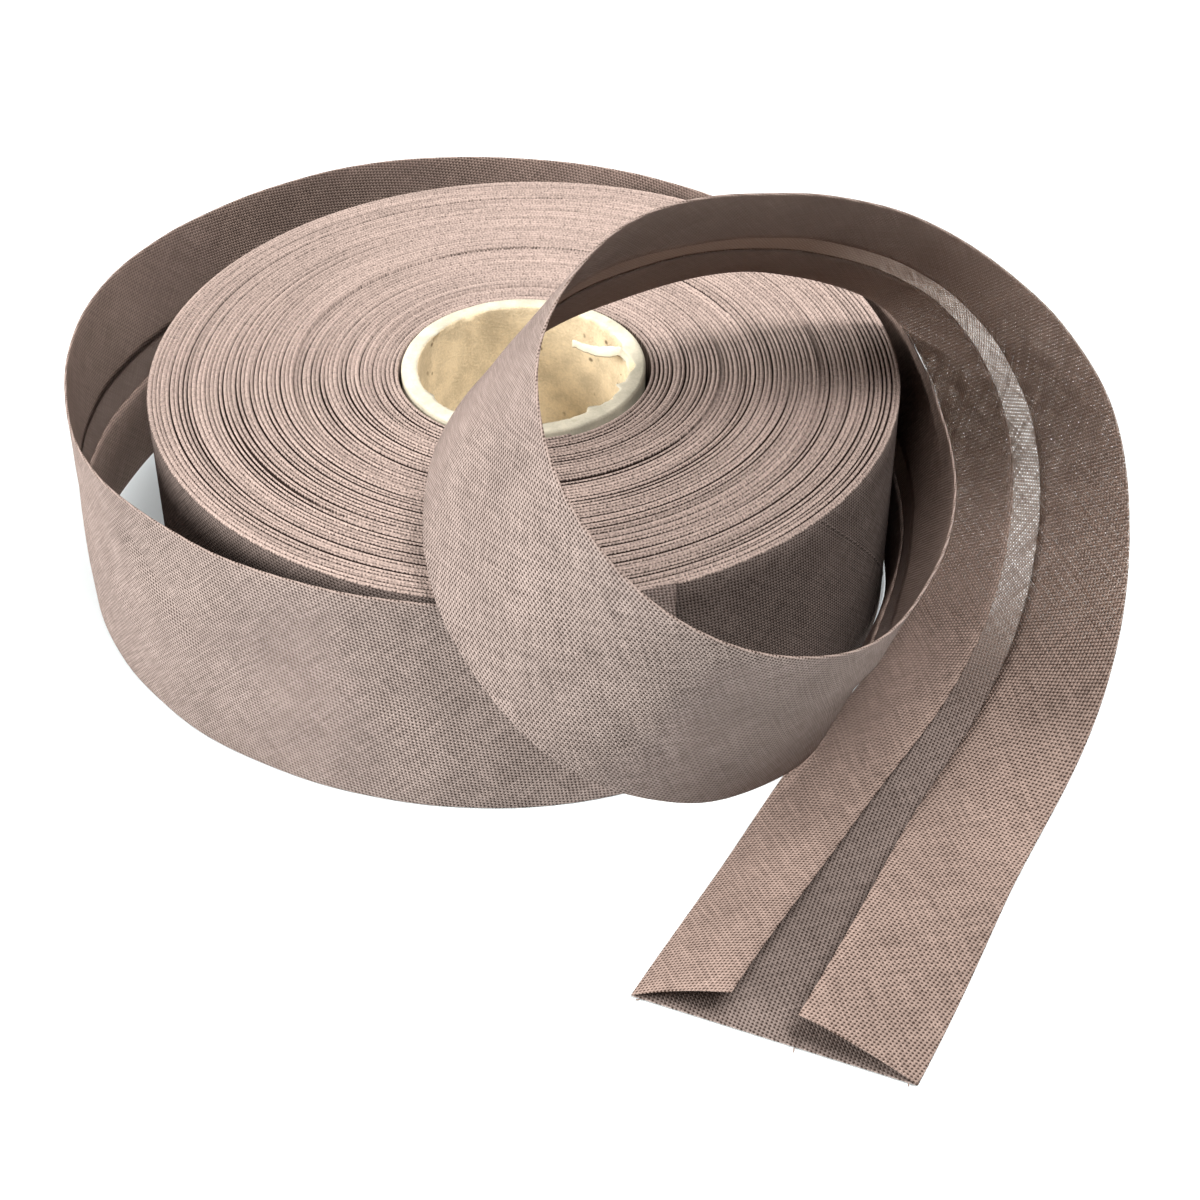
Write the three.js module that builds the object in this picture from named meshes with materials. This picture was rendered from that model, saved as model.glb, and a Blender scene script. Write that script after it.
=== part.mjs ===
// A roll of folded bias binding lying on its side face, wound on a card core, with its loose end
// standing off the roll, rising into an open loop and lying down in front with its inside face up.
import * as THREE from 'three';

// Sizes are in millimetres. The axis of the roll is upright through x = 0, y = 0 and the surface
// under it is z = 0 while the pieces are shaped.

// Folded tape: a base with both raw edges turned in to the same face.
const TAPE_WIDTH = 40;
const LOWER_FLAP = 14.5;
const UPPER_FLAP = 17;
const LAYER = 1;
const LAYER_GAP = 0.3;

// Wound roll and its card core.
const CORE_BORE_R = 17.2;
const CORE_R = 19.9;
const CORE_HEIGHT = 39.6;
const CORE_CHAMFER = 0.3;
const PIECE_GAP = 0.3;
const ROLL_R = 61.2;
const ROLL_EDGE = 0.8;
const ROUND_STEPS = 80;

// Face of the roll: bands of turns that stand a little proud of, or below, their neighbours.
const BAND_STEP = 0.6;
const FACE_BANDS = [
  { outTo: 25, height: 39.6 },
  { outTo: 32, height: 40 },
  { outTo: 37.5, height: 39.6 },
  { outTo: 48, height: 40.1 },
  { outTo: 55, height: 39.7 },
  { outTo: ROLL_R, height: 40 },
];

// Last turn: it leaves the roll at the front, stands off it on the left and closes on it again.
const TURN_R = 64;
const TURN_SLACK = 13.5;
const TURN_FROM = 276;
const TURN_TO = 36;
const TURN_STEP = 24;
const SLACK_AT = 150;
const SLACK_REACH = 120;

// Loop and loose end: middle of the tape, and how far and to which bearing its upper edge leans.
const LOOP = [
  { x: 62.8, y: 11, z: 20.2, lean: 0, toward: 0 },
  { x: 63.5, y: -15, z: 21.5, lean: 3, toward: 0 },
  { x: 58, y: -39, z: 24.3, lean: 13, toward: -2 },
  { x: 49, y: -62, z: 25.5, lean: 22, toward: -9 },
  { x: 32.5, y: -79, z: 31, lean: 30, toward: -19 },
  { x: 12, y: -84, z: 41.5, lean: 36, toward: -32 },
  { x: -4, y: -73.5, z: 56.5, lean: 38, toward: -43 },
  { x: -6.5, y: -52.5, z: 68.5, lean: 37, toward: -47 },
  { x: 6, y: -31.5, z: 73.5, lean: 37, toward: -48 },
  { x: 26, y: -17, z: 72, lean: 43, toward: -51 },
  { x: 48, y: -7.5, z: 66.5, lean: 51, toward: -56 },
  { x: 70, y: -6.5, z: 56.5, lean: 58, toward: -61 },
  { x: 82.5, y: -14.5, z: 36.5, lean: 56, toward: -54 },
  { x: 80.5, y: -31.5, z: 18.5, lean: 62, toward: -42 },
  { x: 70.5, y: -50, z: 7, lean: 73, toward: -34 },
  { x: 56.5, y: -67.5, z: 1.2, lean: 88, toward: -29 },
  { x: 44, y: -88.5, z: 0.7, lean: 90, toward: -27 },
  { x: 32, y: -110, z: 0.5, lean: 90, toward: -26 },
];
const STEPS_PER_ROW = 4;

// Cut end: both flaps lift off the base over the last rows of the loose end.
const LIFT = 20;
const LIFT_ROWS = 2.2;

const radians = THREE.MathUtils.degToRad;

// Closed profile of radius and height, turned about the upright axis.
function turned(profile) {
  const points = profile.map(([radius, height]) => new THREE.Vector2(radius, height));
  points.push(points[0].clone());
  const geometry = new THREE.LatheGeometry(points, ROUND_STEPS);
  geometry.rotateX(Math.PI / 2);
  return geometry;
}

function coreGeometry() {
  const c = CORE_CHAMFER;
  return turned([
    [CORE_BORE_R + c, 0],
    [CORE_R - c, 0],
    [CORE_R, c],
    [CORE_R, CORE_HEIGHT - c],
    [CORE_R - c, CORE_HEIGHT],
    [CORE_BORE_R + c, CORE_HEIGHT],
    [CORE_BORE_R, CORE_HEIGHT - c],
    [CORE_BORE_R, c],
  ]);
}

function rollGeometry() {
  const inner = CORE_R + PIECE_GAP;
  const face = [];
  let from = inner;
  for (const band of FACE_BANDS) {
    const last = band.outTo === ROLL_R;
    face.push([from, band.height]);
    face.push([last ? ROLL_R - ROLL_EDGE : band.outTo, band.height]);
    from = band.outTo + BAND_STEP;
  }
  const top = FACE_BANDS[FACE_BANDS.length - 1].height;
  return turned([
    [inner, 0],
    [ROLL_R - ROLL_EDGE, 0],
    [ROLL_R, ROLL_EDGE],
    [ROLL_R, top - ROLL_EDGE],
    ...face.reverse(),
  ]);
}

// Folded section of the tape, from the lower flap's raw edge, round both folds, to the upper flap's.
const FOLD_R = (LAYER + LAYER_GAP) / 2;
const FOLD_AT = TAPE_WIDTH / 2 - FOLD_R - LAYER / 2;
const SECTION = [
  { stretch: 'flap', side: -1, steps: 2 },
  { stretch: 'fold', side: -1, steps: 4 },
  { stretch: 'base', side: 1, steps: 3 },
  { stretch: 'fold', side: 1, steps: 4 },
  { stretch: 'flap', side: 1, steps: 2 },
];

// Each step across the section, with its share of the way from the middle of the base to a raw edge.
function sectionSteps() {
  const steps = [];
  for (const { stretch, side, steps: count } of SECTION) {
    for (let i = steps.length ? 1 : 0; i <= count; i += 1) {
      steps.push({ stretch, side, share: side > 0 ? i / count : 1 - i / count });
    }
  }
  return steps;
}

// Middle of the layer at one step: along is in the plane of the tape, across is toward its inside
// face, and out points off the outside of the fold.
function sectionPoint({ stretch, side, share }, lift) {
  if (stretch === 'base') {
    return { along: FOLD_AT * (2 * share - 1), across: 0, out: [0, -1] };
  }
  const sweep = (Math.PI - lift) * (stretch === 'fold' ? share : 1);
  const out = [side * Math.sin(sweep), -Math.cos(sweep)];
  const flap = (side > 0 ? UPPER_FLAP : LOWER_FLAP) - (TAPE_WIDTH / 2 - FOLD_AT);
  const length = stretch === 'flap' ? flap * share : 0;
  return {
    along: side * FOLD_AT + FOLD_R * out[0] - side * length * Math.cos(lift),
    across: FOLD_R * (1 + out[1]) + length * Math.sin(lift),
    out,
  };
}

// Rows of the whole loose length: the last turn by bearing, then the loop.
function tailRows() {
  const rows = [];
  for (let bearing = TURN_FROM; bearing >= TURN_TO; bearing -= TURN_STEP) {
    const reach = Math.min(Math.abs(bearing - SLACK_AT) / SLACK_REACH, 1);
    const radius = TURN_R + TURN_SLACK * Math.cos((reach * Math.PI) / 2) ** 2;
    const angle = radians(bearing);
    rows.push({
      middle: new THREE.Vector3(radius * Math.cos(angle), radius * Math.sin(angle), TAPE_WIDTH / 2),
      upper: new THREE.Vector3(0, 0, 1),
    });
  }
  for (const { x, y, z, lean, toward } of LOOP) {
    const tip = Math.sin(radians(lean));
    rows.push({
      middle: new THREE.Vector3(x, y, z),
      upper: new THREE.Vector3(
        tip * Math.cos(radians(toward)),
        tip * Math.sin(radians(toward)),
        Math.cos(radians(lean)),
      ),
    });
  }
  return rows;
}

function tailGeometry() {
  const rows = tailRows();
  const gaps = rows.length - 1;
  const steps = gaps * STEPS_PER_ROW;
  const path = new THREE.CatmullRomCurve3(rows.map((row) => row.middle), false, 'catmullrom');
  const uppers = new THREE.CatmullRomCurve3(rows.map((row) => row.upper), false, 'catmullrom');
  const stations = [];
  for (let i = 0; i <= steps; i += 1) {
    const t = i / steps;
    const tangent = path.getTangent(t);
    const upper = uppers.getPoint(t);
    upper.addScaledVector(tangent, -upper.dot(tangent)).normalize();
    const inside = new THREE.Vector3().crossVectors(tangent, upper);
    const lift = radians(LIFT) * THREE.MathUtils.smoothstep(t * gaps, gaps - LIFT_ROWS, gaps);
    stations.push({ middle: path.getPoint(t), upper, inside, lift });
  }
  // The flat cut strip, folded to its section and then laid along the stations.
  const section = sectionSteps();
  const last = section.length - 1;
  const geometry = new THREE.BoxGeometry(1, 1, LAYER, last, steps, 1);
  const position = geometry.attributes.position;
  for (let i = 0; i < position.count; i += 1) {
    const station = stations[Math.round((position.getY(i) + 0.5) * steps)];
    const step = section[Math.round((position.getX(i) + 0.5) * last)];
    const { along, across, out } = sectionPoint(step, station.lift);
    const offset = position.getZ(i);
    const point = station.middle.clone();
    point.addScaledVector(station.upper, along + offset * out[0]);
    point.addScaledVector(station.inside, across + offset * out[1]);
    position.setXYZ(i, point.x, point.y, point.z);
  }
  geometry.computeVertexNormals();
  return geometry;
}

const card = new THREE.MeshStandardMaterial({ color: 0xc9bba0, roughness: 0.9, metalness: 0 });
const wound = new THREE.MeshStandardMaterial({ color: 0xb39c93, roughness: 0.95, metalness: 0 });
const cloth = new THREE.MeshStandardMaterial({ color: 0x8f7d72, roughness: 0.95, metalness: 0 });

function piece(name, geometry, material) {
  const mesh = new THREE.Mesh(geometry, material);
  mesh.name = name;
  return mesh;
}

const pieces = [
  piece('core', coreGeometry(), card),
  piece('roll', rollGeometry(), wound),
  piece('tail', tailGeometry(), cloth),
];

// The origin is under the middle of everything, on the surface.
const box = new THREE.Box3();
for (const mesh of pieces) {
  box.expandByObject(mesh);
}
const centre = box.getCenter(new THREE.Vector3());
for (const mesh of pieces) {
  mesh.geometry.translate(-centre.x, -centre.y, -box.min.z);
}

const binding = new THREE.Group();
binding.name = 'bias_binding_roll';
binding.add(...pieces);

export default binding;
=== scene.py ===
"""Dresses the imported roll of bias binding: wound turns, card core, loose end and stage."""

import math

import bmesh
import bpy
from bpy.props import FloatProperty, FloatVectorProperty, IntProperty, PointerProperty
from bpy.types import Operator, Panel, PropertyGroup
from mathutils import Matrix, Vector, noise


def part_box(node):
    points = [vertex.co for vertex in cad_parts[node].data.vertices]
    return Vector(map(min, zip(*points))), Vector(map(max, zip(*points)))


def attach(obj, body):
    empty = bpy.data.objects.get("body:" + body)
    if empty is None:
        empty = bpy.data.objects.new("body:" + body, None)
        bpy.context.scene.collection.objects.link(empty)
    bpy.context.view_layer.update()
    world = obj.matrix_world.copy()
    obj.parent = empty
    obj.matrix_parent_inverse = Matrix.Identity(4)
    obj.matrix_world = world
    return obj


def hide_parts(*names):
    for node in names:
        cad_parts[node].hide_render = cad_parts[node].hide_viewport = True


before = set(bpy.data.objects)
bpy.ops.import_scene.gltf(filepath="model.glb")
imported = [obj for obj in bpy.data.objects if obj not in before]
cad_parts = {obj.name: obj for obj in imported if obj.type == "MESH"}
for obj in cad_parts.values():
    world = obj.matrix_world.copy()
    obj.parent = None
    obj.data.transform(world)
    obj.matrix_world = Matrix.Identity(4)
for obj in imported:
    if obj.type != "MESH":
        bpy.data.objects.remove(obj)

bl_info = {
    "name": "Bias Binding Roll",
    "version": (1, 0, 0),
    "blender": (4, 5, 0),
    "location": "View3D > Sidebar > Binding",
    "description": "Builds a roll of bias binding with its loose end looped out in front",
    "category": "Object",
}

MM = 0.001
TURN = 2 * math.pi
FLAT_MAP = "flat_cloth"
EDGE_MAP = "along_turns"
PAINTED_GROOVE_SHADE = "painted_groove_shade"

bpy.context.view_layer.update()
CORE_LOW, CORE_HIGH = (Vector(corner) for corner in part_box("core"))
ROLL_LOW, ROLL_HIGH = (Vector(corner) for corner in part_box("roll"))
AXIS = Vector(((CORE_LOW.x + CORE_HIGH.x) / 2, (CORE_LOW.y + CORE_HIGH.y) / 2, ROLL_LOW.z))

# Bands of turns on the roll's face: outer radius, and how far they stand below the tape's width, in mm.
FACE_BANDS = (
    {"out_to": 25.0, "drop": 0.3},
    {"out_to": 32.0, "drop": 0.05},
    {"out_to": 37.5, "drop": 0.4},
    {"out_to": 48.0, "drop": 0.0},
    {"out_to": 55.0, "drop": 0.35},
    {"out_to": 62.0, "drop": 0.1},
)

# Section of one turn's folded edge: share of its pitch, drop as a share of the groove, and painted shade.
TURN_POINTS = (
    {"share": 0.0, "drop": 1.0, "dark": 1.0},
    {"share": 0.14, "drop": 0.4, "dark": 0.15},
    {"share": 0.32, "drop": 0.06, "dark": 0.0},
    {"share": 0.52, "drop": 0.0, "dark": 0.0},
    {"share": 0.72, "drop": 0.12, "dark": 0.15},
    {"share": 0.88, "drop": 0.55, "dark": 0.85},
)

# Grooves between turns: depths in mm, with the depth whose painted shade is black, and the noise that makes
# some deep.
GROOVE = {"least": 0.25, "usual": 0.1, "quick": 0.2, "deep": 0.75, "shoulder": 0.6, "black_at": 0.8}
GROOVE_NOISE = {"slow": 0.33, "quick": 1.1, "deep_from": -0.05, "deep_to": 0.4}

# Depth of the grooves by bearing, and with it their painted shade: tight on the far side, and more where the
# turns lie loosest.
LOOSE = {"at": 255.0, "tight": 0.55, "more": 0.8}

# Wavering of a turn's edge: its drop in mm, and its sideways shift as a share of one turn.
DROP_WAVES = (
    {"size": 0.16, "quick": 0.16, "noise": 31.0},
    {"size": 0.05, "quick": 1.3, "noise": 37.0},
)
SHIFT_WAVES = (
    {"size": 0.3, "quick": 0.21, "noise": 23.0},
    {"size": 0.08, "quick": 1.7, "noise": 27.0},
)

# The roll is spun this many radians short of a turn, from points this far apart, and then welded.
SPIN = {"short": 1e-4, "apart": 0.01 * MM, "weld": 2e-7}

# Wall of the roll: steps down it, how far in mm it stops short of foot and top, and painted shade
# underneath.
WALL = {"steps": 10, "foot": 0.3, "top": 0.45, "painted_under_shade": 0.5}

# Last turn of the loose end in mm and degrees: it eases off the roll, stands off on the left and closes.
LAST_TURN = {"from": 290.4, "to": 36.0, "step": 12.72, "ease": 34.0, "sunk": 0.1}
SLACK = {"radius": 62.5, "reach": 14.4, "at": 150.0, "over": 120.0}

# Loop and loose end: middle of the tape in mm from the roll's axis, and the lean of its upper edge.
LOOP = (
    {"at": (58.3, 23.3, 20.1), "lean": 0, "toward": 0},
    {"at": (62.9, 10.0, 20.2), "lean": 1, "toward": 0},
    {"at": (62.9, -15.5, 21.2), "lean": 8, "toward": 0},
    {"at": (57.5, -39.4, 23.2), "lean": 20, "toward": -2},
    {"at": (49.0, -62.3, 24.9), "lean": 23.5, "toward": -9},
    {"at": (32.5, -79.1, 29.6), "lean": 32, "toward": -19},
    {"at": (11.8, -83.8, 41.4), "lean": 36, "toward": -32},
    {"at": (-4.0, -73.0, 56.0), "lean": 37, "toward": -43},
    {"at": (-6.3, -52.1, 68.2), "lean": 37, "toward": -47},
    {"at": (6.0, -31.4, 73.3), "lean": 37, "toward": -48},
    {"at": (25.9, -17.0, 71.8), "lean": 43, "toward": -51},
    {"at": (47.7, -7.4, 66.0), "lean": 51, "toward": -56},
    {"at": (68.8, -5.4, 54.2), "lean": 57, "toward": -61},
    {"at": (81.0, -13.4, 35.0), "lean": 56, "toward": -54},
    {"at": (79.3, -29.8, 17.4), "lean": 62, "toward": -42},
    {"at": (69.3, -48.8, 6.8), "lean": 76, "toward": -34},
    {"at": (55.7, -67.2, 1.0), "lean": 88, "toward": -29},
    {"at": (43.8, -88.4, 0.4), "lean": 90, "toward": -27},
    {"at": (31.8, -109.0, 0.3), "lean": 90, "toward": -22},
)

# Route of the loose end: steps from one row to the next, passes that even out its bends, stations.
ROUTE = {"steps": 24, "passes": 60, "stations": 380}

# Columns of cloth across the flat strip, from the lower raw edge to the upper one.
SECTION = (
    {"stretch": "flap", "side": -1, "steps": 9},
    {"stretch": "fold", "side": -1, "steps": 6},
    {"stretch": "base", "side": 1, "steps": 18},
    {"stretch": "fold", "side": 1, "steps": 6},
    {"stretch": "flap", "side": 1, "steps": 10},
)

# Painted shade on the cloth of the roll's wall: its brightness as a share of the thread colour.
WALL_PAINTED_SHADE = 0.41

# Looks of the loose end's two sides, as cloth_finish takes them. The wrong side is darker,
# partly as painted shade in the slot under the flaps and partly as the cloth's own darker wrong side.
RIGHT_SIDE = {"shade": 0.9, "sheer": 0.22, "more": 0.2, "pores": 0.08, "flaps": True}
WRONG_SIDE = {"shade": 0.55, "sheer": 0.28, "more": 0.3, "pores": -0.08}

# Soft borders on the cloth: where the flaps' painted shade starts, and the painted highlight along each
# fold.
FLAP_EDGE = 0.4 * MM
FOLD_HIGHLIGHT = (0.1 * MM, 0.5 * MM)

# Places along the loose end where light glows through the cloth, and where its weave stands open.
BACKLIT = {"glow": 470.0 * MM, "from": 575.0 * MM, "full": 625.0 * MM, "fades": 655.0 * MM, "to": 688.0 * MM}

# Cut end: lift of each flap in degrees, its length and curve, then the slant and spread of the cut.
CUT_END = {"lower": 26.0, "upper": 21.5, "over": 96.0 * MM, "curl": 1.3, "bow": 0.35,
           "skew": -0.1, "spread": 0.043, "near": 45.0 * MM}

# Flaps elsewhere: least lift off the base in radians, and the uneven lift on top of it.
FLAP_REST = {"least": 0.002, "more": 0.004, "along": 28, "apart": 3.0}

# Soft waves in the cloth: rise in mm, how quickly they change along and across, and which noise.
WAVES = (
    {"rise": 0.55, "along": 34, "across": 46, "noise": 2.0},
    {"rise": 0.22, "along": 95, "across": 70, "noise": 9.0},
)

# Where the cloth is free of the roll, where its waves die out before the cut, and its lowest middle.
FREE_AFTER = 40.0 * MM
LAID = {"from": 130.0 * MM, "to": 70.0 * MM, "lowest": 0.6}

# Soft creases pressed into the loose end: place along and across in mm, slope, size and rise.
CREASES = (
    {"run": 46.0, "across": 2.0, "slope": 24, "half": 20.0, "width": 2.6, "rise": 0.35},
    {"run": 84.0, "across": 7.0, "slope": 38, "half": 17.0, "width": 2.2, "rise": 0.5},
    {"run": 96.0, "across": -6.0, "slope": 31, "half": 19.0, "width": 2.4, "rise": -0.4},
    {"run": 121.0, "across": 3.0, "slope": 44, "half": 15.0, "width": 2.8, "rise": 0.4},
    {"run": 152.0, "across": -9.0, "slope": 20, "half": 16.0, "width": 2.6, "rise": 0.35},
    {"run": 398.0, "across": -5.0, "slope": 9, "half": 26.0, "width": 2.4, "rise": 0.4},
    {"run": 420.0, "across": 6.0, "slope": 14, "half": 24.0, "width": 2.8, "rise": -0.35},
    {"run": 446.0, "across": -8.0, "slope": 12, "half": 20.0, "width": 2.2, "rise": 0.35},
    {"run": 470.0, "across": 4.0, "slope": 33, "half": 18.0, "width": 3.0, "rise": 0.3},
)

# A crease ends at this many of its widths, and fades from this share of its half length.
CREASE = {"reach": 3, "fades": 0.3}

# Nicks and tears round the card's inner edge: bearing, width in degrees, reach inward in mm.
EDGE_NICKS = (
    {"bearing": 121.0, "width": 5.0, "reach": -0.9},
    {"bearing": 147.0, "width": 4.0, "reach": 0.5},
    {"bearing": 210.0, "width": 7.0, "reach": 0.45},
    {"bearing": 309.0, "width": 5.0, "reach": 1.1},
    {"bearing": 322.0, "width": 4.0, "reach": -0.4},
    {"bearing": 336.0, "width": 3.5, "reach": 1.2},
    {"bearing": 356.0, "width": 9.0, "reach": -1.1},
    {"bearing": 12.0, "width": 7.0, "reach": 1.0},
    {"bearing": 37.0, "width": 5.0, "reach": -0.6},
)

# Torn inner edge elsewhere: reach inward in mm, and how it wavers by the degree.
RAGGED_REACH = -0.08
RAGGED_WAVES = (
    {"size": 0.18, "quick": 0.11, "noise": 51.0},
    {"size": 0.3, "quick": 0.6, "noise": 57.0},
)

# Card tube: steps round it, and how far in mm it stands above the frame's core.
CARD = {"steps": 240, "proud": 0.55}

# Unevenness of its paper by part: size in mm, how quickly it changes by the degree, and which noise.
CARD_WAVES = {
    "torn": {"size": 0.1, "quick": 0.3, "noise": 61.0},
    "end": {"size": 0.12, "quick": 0.08, "noise": 64.0},
    "bore": {"size": 0.06, "quick": 0.06, "noise": 67.0},
}

# Section of the card tube, round from the foot of its bore. Radius is a wall's plus off, height a share
# of the tube's plus up, in mm, and torn is how much of the ragged edge a point takes.
CARD_SECTION = (
    {"part": "tube", "wall": "bore", "share": 0.0, "up": 0.3},
    {"part": "tube", "wall": "bore", "off": 0.3, "share": 0.0},
    {"part": "tube", "wall": "outer", "off": -0.3, "share": 0.0},
    {"part": "tube", "wall": "outer", "share": 0.0, "up": 0.3},
    {"part": "tube", "wall": "outer", "share": 1.0, "up": -0.5},
    {"part": "end", "wall": "outer", "off": -0.15, "share": 1.0, "up": -0.12},
    {"part": "end", "wall": "outer", "off": -0.5, "share": 1.0},
    {"part": "end", "wall": "outer", "off": -1.3, "share": 1.0, "up": -0.05},
    {"part": "torn", "wall": "bore", "off": 0.5, "share": 1.0, "torn": 0.55},
    {"part": "torn", "wall": "bore", "share": 1.0, "up": -0.08, "torn": 1.0},
    {"part": "bore", "wall": "bore", "share": 1.0, "up": -0.4},
    {"part": "bore", "wall": "bore", "share": 1.0, "up": -1.2},
    {"part": "bore", "wall": "bore", "share": 0.66},
    {"part": "bore", "wall": "bore", "share": 0.33},
)

# Creases in the paper of the bore: bearing at the top, slant in degrees down to the foot, rise in mm.
BORE_FOLDS = (
    {"bearing": 121.0, "slant": -9.0, "rise": 0.35},
    {"bearing": 31.0, "slant": 16.0, "rise": 0.3},
    {"bearing": 52.0, "slant": -40.0, "rise": 0.25},
)
BORE_FOLD_WIDTH = 2.5

# Torn sliver of paper that curls into the bore: middle line in mm from the axis, and its width.
SLIVER = (
    {"at": (17.6, -1.2, 38.6), "width": 1.0},
    {"at": (17.2, 1.4, 39.4), "width": 1.2},
    {"at": (15.9, 3.9, 39.5), "width": 1.4},
    {"at": (13.9, 4.9, 38.9), "width": 1.7},
    {"at": (12.0, 6.0, 38.4), "width": 1.5},
    {"at": (10.1, 7.2, 38.3), "width": 1.2},
    {"at": (8.2, 8.4, 38.5), "width": 1.1},
)

# Its thickness, ragged sides and hollow in mm, and how it turns from root to tip in degrees.
PAPER = {"thick": 0.22, "ragged": 0.5, "quick": 3.1, "hollow": 0.3, "across": 4, "along": 30}
SLIVER_TURN = {"root": 80, "tip": 5, "over": 2.2, "back": 0.64, "up": 0.77}

# Stitches of the seam on the roll's wall: bearing of its top in degrees, and the rest in mm.
SEAM = {"bearing": -45.0, "stitch": 1.25, "every": 2.1, "thick": 0.16,
        "top": 0.9, "foot": 1.5, "arch": 0.05, "sunk": 0.02}

# Threads at the cut end: share of the way along it, length and rise in mm, and turn from it in degrees.
STRAYS = (
    {"share": 0.58, "length": 0.9, "turn": 70, "rise": 0.2},
    {"share": 0.02, "length": 0.6, "turn": 130, "rise": 0.2},
    {"share": 0.98, "length": 0.5, "turn": 65, "rise": 0.2},
)
STRAY = {"thick": 0.2, "height": 0.16, "inset": 1.2}

# Points of a short strand by share of its length, and the sides it has.
STRAND_SHARES = (0.0, 0.25, 0.5, 0.75, 1.0)
STRAND_SIDES = 6

# Stage: the floor's half size in metres and its glow, the dim surround, and soft lights in metres and watts.
FLOOR = {"half": 4.0, "cells": 8, "glow": 0.34}
SURROUND = {"colour": (0.97, 0.985, 1.0), "strength": 0.03}
LIGHTS = (
    {"name": "tent", "place": (-0.15, 0.45, 1.1), "size": (2.4, 2.0), "power": 17.0,
     "colour": (1.0, 0.985, 0.965)},
    {"name": "key", "place": (0.35, -0.35, 1.2), "size": (0.5, 0.5), "power": 26.0,
     "colour": (1.0, 0.985, 0.97)},
    {"name": "fill", "place": (-1.12, -0.27, 0.52), "size": (0.6, 0.6), "power": 26.0,
     "colour": (1.0, 0.98, 0.96)},
)

# Camera, from the roll's axis: place in mm, turn to the right and tilt down in degrees.
CAMERA = {"place": (0.0, -315.09, 248.43), "turn": 2.265, "tilt": 39.344, "lens": 69.24, "film": 36.0}


def user_length(name, description, default):
    """A length that a user may change."""
    return FloatProperty(name=name, description=description, default=default, unit="LENGTH")


def user_colour(name, description, default):
    """A colour that a user may change."""
    return FloatVectorProperty(
        name=name, description=description, default=default, subtype="COLOR", size=3)


class BindingSizes(PropertyGroup):
    """Sizes of the tape, the roll and the card core."""

    tape_width: user_length("Folded width", "Width of the folded tape", 40 * MM)
    lower_flap: user_length("Lower flap", "Turned-in edge nearer the surface", 15.7 * MM)
    upper_flap: user_length("Upper flap", "Turned-in edge away from the surface", 17.9 * MM)
    cloth: user_length("Cloth", "Thickness of one layer of cloth", 0.2 * MM)
    fold: user_length("Fold", "Radius of the pressed folds", 0.21 * MM)
    warp: user_length("Warp pitch", "Distance between the warp threads", 0.475 * MM)
    weft: user_length("Weft pitch", "Distance between the weft threads", 0.36 * MM)
    roll_radius: user_length("Roll radius", "Outside of the last wound turn", (ROLL_HIGH.x - ROLL_LOW.x) / 2)
    roll_bore: user_length("Roll bore", "Inside of the first wound turn", 20.2 * MM)
    turns: IntProperty(name="Turns", description="Turns wound on the core", default=58, min=4)
    round_steps: IntProperty(
        name="Round steps", description="Steps round one turn of the roll", default=180, min=24)
    core_bore: user_length("Core bore", "Inner radius of the card core", 17.2 * MM)


class BindingColours(PropertyGroup):
    """Colours of the cloth, the card and the floor."""

    cloth: user_colour("Cloth", "Thread colour of the tape", (0.4, 0.318, 0.285))
    cloth_gap: user_colour("Weave gaps", "Colour between the threads", (0.05, 0.034, 0.028))
    edge: user_colour("Wound edges", "Colour of the folded edges on the roll's face", (0.325, 0.252, 0.221))
    # Painted shade down in the grooves between the turns.
    groove: user_colour("Grooves", "Painted shade down between the turns", (0.018, 0.012, 0.01))
    card_end: user_colour("Card end", "Cut end of the card core", (0.5, 0.46, 0.36))
    # The bore's paper is brightened here as painted light inside the dim tube.
    card_bore: user_colour("Card bore", "Paper inside the card core", (0.65, 0.535, 0.36))
    # Painted shade on the turned-in flaps, multiplied into the cloth.
    painted_flap_shade: user_colour("Painted flap shade", "Painted shade on the turned-in flaps", (0.86, 0.8, 0.76))
    glow: user_colour("Glow", "Light that comes through the cloth", (0.6, 0.46, 0.38))
    fleck: user_colour("Flecks", "Dark flecks in the card", (0.12, 0.085, 0.05))
    floor: user_colour("Floor", "Pale studio floor", (0.6, 0.635, 0.645))


class Field:
    """One output in a material's nodes. Arithmetic on it adds Math nodes."""

    def __init__(self, finish, socket):
        self.finish = finish
        self.socket = socket

    def output(self, name):
        return Field(self.finish, self.socket.node.outputs[name])

    def maths(self, operation, *others):
        values = dict(enumerate((self, *others)))
        return self.finish.node("ShaderNodeMath", {"operation": operation}, values)

    def swapped(self, operation, other):
        return self.finish.node("ShaderNodeMath", {"operation": operation}, {0: other, 1: self})

    def __add__(self, other):
        return self.maths("ADD", other)

    def __radd__(self, other):
        return self.swapped("ADD", other)

    def __sub__(self, other):
        return self.maths("SUBTRACT", other)

    def __rsub__(self, other):
        return self.swapped("SUBTRACT", other)

    def __mul__(self, other):
        return self.maths("MULTIPLY", other)

    def __rmul__(self, other):
        return self.swapped("MULTIPLY", other)

    def __truediv__(self, other):
        return self.maths("DIVIDE", other)

    def __abs__(self):
        return self.maths("ABSOLUTE")

    def sine(self):
        return self.maths("SINE")

    def ramp(self, low, high):
        """Soft step from 0 at low to 1 at high."""
        settings = {"interpolation_type": "SMOOTHSTEP"}
        return self.finish.node("ShaderNodeMapRange", settings, {"Value": self, 1: low, 2: high})


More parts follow.
